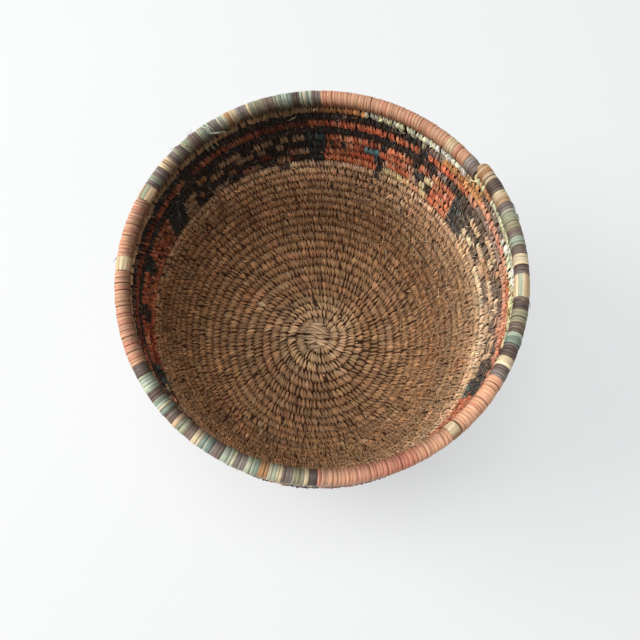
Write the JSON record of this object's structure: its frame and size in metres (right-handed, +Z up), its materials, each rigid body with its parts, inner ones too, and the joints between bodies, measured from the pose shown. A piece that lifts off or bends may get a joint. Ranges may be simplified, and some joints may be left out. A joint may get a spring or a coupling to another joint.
{
  "type": "coiled basket",
  "caption": "Round open basket of one sewn coil, with a domed floor, a steep wall, a patterned band and a thicker wrapped rim.",
  "frame": {"origin": "on the ground under the middle of the basket", "axes": "+Z up, out of the basket's mouth; -Y to the side that is lowest in the picture; +X to its right"},
  "size_m": [0.202, 0.209, 0.1327],
  "materials": {
    "natural_splint": "undyed split palm, dry and worn",
    "tan_splint": "pale undyed splint",
    "black_splint": "black-brown dyed splint",
    "teal_splint": "blue-black dyed splint",
    "terracotta_splint": "red-brown dyed splint",
    "sage_splint": "green, brown and cream dyed splints",
    "brown_splint": "dark brown dyed splint",
    "grass_bundle": "dry grass"
  },
  "bodies": {
    "root": {"floor_coil": "natural_splint", "heel_coil": "natural_splint", "wall_coil": "natural_splint", "band_foundation": "grass_bundle", "terracotta_panel_1": "terracotta_splint", "terracotta_panel_2": "terracotta_splint", "terracotta_panel_3": "terracotta_splint", "dark_panel_1": "black_splint", "dark_panel_2": "black_splint", "dark_panel_3": "black_splint", "teal_block_1": "teal_splint", "teal_block_2": "teal_splint", "teal_block_3": "teal_splint", "teal_block_4": "teal_splint", "teal_block_5": "teal_splint", "teal_block_6": "teal_splint", "lower_black_course": "black_splint", "terracotta_course": "terracotta_splint", "upper_black_course": "black_splint", "tan_course": "tan_splint", "rim_core": "grass_bundle", "rim_start_wrap": "brown_splint", "terracotta_wrap_1": "terracotta_splint", "striped_wrap_1": "sage_splint", "splice_patch_1": "natural_splint", "terracotta_wrap_2": "terracotta_splint", "splice_patch_2": "natural_splint", "terracotta_wrap_3": "terracotta_splint", "striped_wrap_2": "sage_splint", "terracotta_wrap_4": "terracotta_splint", "splice_patch_3": "natural_splint", "terracotta_wrap_5": "terracotta_splint", "striped_wrap_3": "sage_splint", "splice_patch_4": "natural_splint", "striped_wrap_4": "sage_splint", "rim_tip": "tan_splint"}
  },
  "joints": []
}
